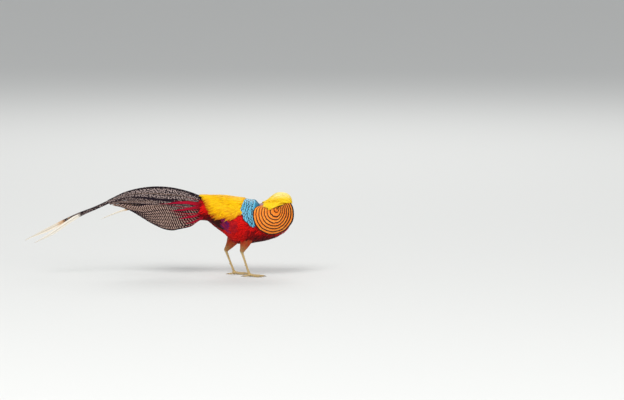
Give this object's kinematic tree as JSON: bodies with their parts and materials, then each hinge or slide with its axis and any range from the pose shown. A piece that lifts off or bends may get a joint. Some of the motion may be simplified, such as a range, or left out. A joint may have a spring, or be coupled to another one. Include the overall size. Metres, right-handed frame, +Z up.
{
  "type": "golden pheasant",
  "caption": "Life-size cock golden pheasant in courtship display, standing, one side of its ruff spread and its long tail tilted and fanned.",
  "frame": {"origin": "on the floor under the middle of the bird's box, tail included", "axes": "+X the way the bird faces, -Y the displayed right side, +Z up"},
  "size_m": [0.8904, 0.1636, 0.2945],
  "materials": {
    "body_plumage": "scarlet body feathers, golden silky back and rump, blue-green upper back",
    "neck_plumage": "short orange feathers",
    "crest_plumage": "silky golden yellow crest over a bare yellow face",
    "cape_plumage": "orange feathers barred with blue-black",
    "wing_plumage": "maroon coverts and dark blue inner flight feathers",
    "tail_plumage": "dark brown feathers speckled and barred with buff",
    "thigh_plumage": "short red feathers",
    "bill_horn": "horn yellow bill",
    "claw_horn": "horn claws",
    "leg_skin": "scaly horn yellow skin",
    "eye": "wet pale yellow iris with a small black pupil"
  },
  "bodies": {
    "root": {"torso": "body_plumage", "neck": "neck_plumage", "head": "crest_plumage", "cape_right": "cape_plumage", "cape_left": "cape_plumage", "wing_right": "wing_plumage", "wing_left": "wing_plumage", "tail": "tail_plumage", "tail_tip_right": "tail_plumage", "tail_tip_left": "tail_plumage", "bill_upper": "bill_horn", "bill_lower": "bill_horn", "eye_right": "eye", "eye_left": "eye", "thigh_right": "thigh_plumage", "shank_right": "leg_skin", "foot_right": "leg_skin", "claw_inner_right": "claw_horn", "claw_middle_right": "claw_horn", "claw_outer_right": "claw_horn", "claw_hind_right": "claw_horn", "thigh_left": "thigh_plumage", "shank_left": "leg_skin", "foot_left": "leg_skin", "claw_inner_left": "claw_horn", "claw_middle_left": "claw_horn", "claw_outer_left": "claw_horn", "claw_hind_left": "claw_horn"}
  },
  "joints": []
}
